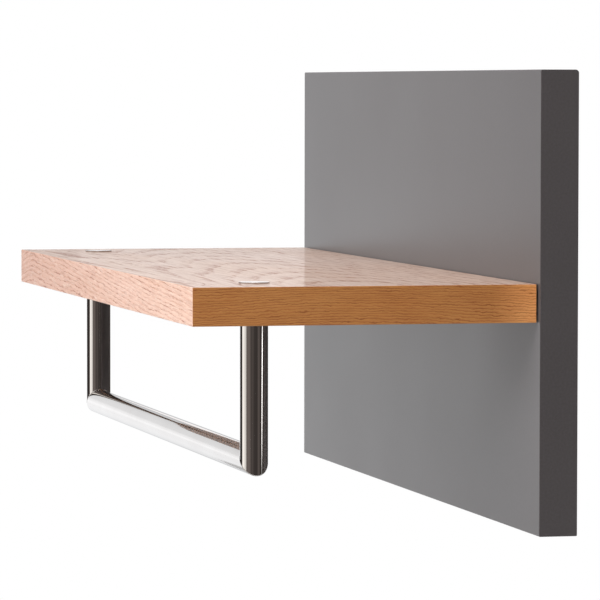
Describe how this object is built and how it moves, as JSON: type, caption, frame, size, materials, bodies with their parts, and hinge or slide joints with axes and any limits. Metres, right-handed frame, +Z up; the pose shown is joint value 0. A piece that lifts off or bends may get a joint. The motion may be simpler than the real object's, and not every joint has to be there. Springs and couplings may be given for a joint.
{
  "type": "bicycle wall rack",
  "caption": "Wall rack for a bicycle: wide lacquered panel, oak shelf board and a mitred steel tube bar under the shelf that the bicycle hangs on.",
  "frame": {"origin": "centre of the panel's rear face, on the wall", "axes": "+X along the wall, to the right of someone facing the rack; +Y into the wall; +Z up"},
  "size_m": [1, 0.3865, 0.46],
  "materials": {
    "grey_lacquer": "matt grey lacquer on MDF board",
    "oak": "clear satin lacquer on solid oak",
    "polished_steel": "mirror polished stainless steel",
    "dark_steel": "blackened steel",
    "zinc_steel": "zinc plated",
    "insert_brass": "turned brass",
    "rail_aluminium": "mill finish extrusion"
  },
  "bodies": {
    "root": {"back_panel": "grey_lacquer", "shelf_board": "oak", "leg_left": "polished_steel", "leg_right": "polished_steel", "cross_bar": "polished_steel", "cap_left": "polished_steel", "cap_right": "polished_steel", "bracket_plate": "dark_steel", "bracket_rod_far_left": "dark_steel", "bracket_rod_left": "dark_steel", "bracket_rod_middle": "dark_steel", "bracket_rod_right": "dark_steel", "bracket_rod_far_right": "dark_steel", "plate_bolts": "zinc_steel", "plate_bolt_washers": "zinc_steel", "rod_lock_inserts": "insert_brass", "rod_lock_screws": "zinc_steel", "leg_plug_left": "dark_steel", "leg_plug_right": "dark_steel", "leg_bolts": "zinc_steel", "leg_bolt_washers": "zinc_steel", "panel_rail": "rail_aluminium", "wall_rail": "rail_aluminium", "panel_rail_screws": "zinc_steel"}
  },
  "joints": []
}
